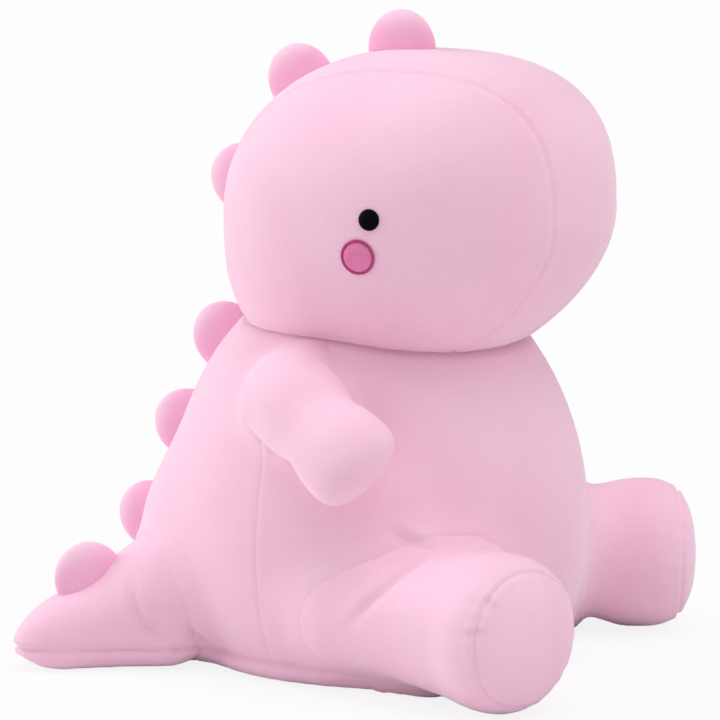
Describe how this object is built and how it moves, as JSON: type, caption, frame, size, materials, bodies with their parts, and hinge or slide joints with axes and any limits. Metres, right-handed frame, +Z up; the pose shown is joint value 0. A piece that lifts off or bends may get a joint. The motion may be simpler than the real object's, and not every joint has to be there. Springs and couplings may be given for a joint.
{
  "type": "stuffed dinosaur",
  "caption": "Seated stuffed dinosaur in short pile plush: padded head, round torso, bent arms, splayed legs, curled tail and soft round spikes along its back.",
  "frame": {"origin": "middle of the flat seat, on the floor", "axes": "+Z up through the torso; the toy faces -Y; its right side is -X"},
  "size_m": [0.4246, 0.4378, 0.4976],
  "materials": {
    "pink_plush": "short smooth pile, pale pink",
    "spike_fabric": "short smooth pile, deeper pink",
    "cheek_fabric": "padded patch, rose pink",
    "stuffing": "white polyester fibre",
    "eye_plastic": "smooth black",
    "washer_plastic": "plain natural"
  },
  "bodies": {
    "torso": {"body_front": "pink_plush", "body_back_left": "pink_plush", "body_back_right": "pink_plush", "base_panel": "pink_plush", "body_filling": "stuffing", "back_spike_nape": "spike_fabric", "back_spike_middle": "spike_fabric", "back_spike_rump": "spike_fabric", "back_spike_filling": "stuffing"},
    "head": {"head_side_left": "pink_plush", "head_side_right": "pink_plush", "head_gusset": "pink_plush", "head_filling": "stuffing", "eye_left": "eye_plastic", "eye_right": "eye_plastic", "eye_washer_left": "washer_plastic", "eye_washer_right": "washer_plastic", "cheek_left": "cheek_fabric", "cheek_right": "cheek_fabric", "head_spike_front": "spike_fabric", "head_spike_crown": "spike_fabric", "head_spike_rear": "spike_fabric", "head_spike_filling": "stuffing"},
    "arm_left": {"arm_left_cover": "pink_plush", "arm_left_filling": "stuffing"},
    "arm_right": {"arm_right_cover": "pink_plush", "arm_right_filling": "stuffing"},
    "leg_left": {"leg_left_cover": "pink_plush", "leg_left_sole": "pink_plush", "leg_left_filling": "stuffing"},
    "leg_right": {"leg_right_cover": "pink_plush", "leg_right_sole": "pink_plush", "leg_right_filling": "stuffing"},
    "tail": {"tail_cover": "pink_plush", "tail_base": "pink_plush", "tail_filling": "stuffing", "tail_spike": "spike_fabric", "tail_spike_filling": "stuffing"}
  },
  "joints": [
    {"name": "neck_nod", "type": "hinge", "parent": "torso", "child": "head", "pos_m": [0, 0, 0.15094], "axis": [1, 0, 0], "range_deg": [-3, 8], "stiffness_Nm_per_rad": 40},
    {"name": "arm_right_swing", "type": "hinge", "parent": "torso", "child": "arm_right", "pos_m": [-0.13421, 0.01174, 0.21793], "axis": [-0.8773, 0.0768, 0.4738], "range_deg": [-15, 25], "stiffness_Nm_per_rad": 1},
    {"name": "arm_left_swing", "type": "hinge", "parent": "torso", "child": "arm_left", "pos_m": [0.13421, 0.01174, 0.21793], "axis": [-0.8773, -0.0768, -0.4738], "range_deg": [-1, 39], "stiffness_Nm_per_rad": 1},
    {"name": "leg_right_lift", "type": "hinge", "parent": "torso", "child": "leg_right", "pos_m": [-0.11938, -0.09327, 0.0593], "axis": [-0.9063, 0.4226, 0], "range_deg": [-5, 10], "stiffness_Nm_per_rad": 5},
    {"name": "leg_left_lift", "type": "hinge", "parent": "torso", "child": "leg_left", "pos_m": [0.11938, -0.09327, 0.0593], "axis": [-0.9063, -0.4226, 0], "range_deg": [-5, 10], "stiffness_Nm_per_rad": 5},
    {"name": "tail_wag", "type": "hinge", "parent": "torso", "child": "tail", "pos_m": [-0.10485, 0.13421, 0.0463], "axis": [0, 0, 1], "range_deg": [-12, 12], "stiffness_Nm_per_rad": 2}
  ]
}
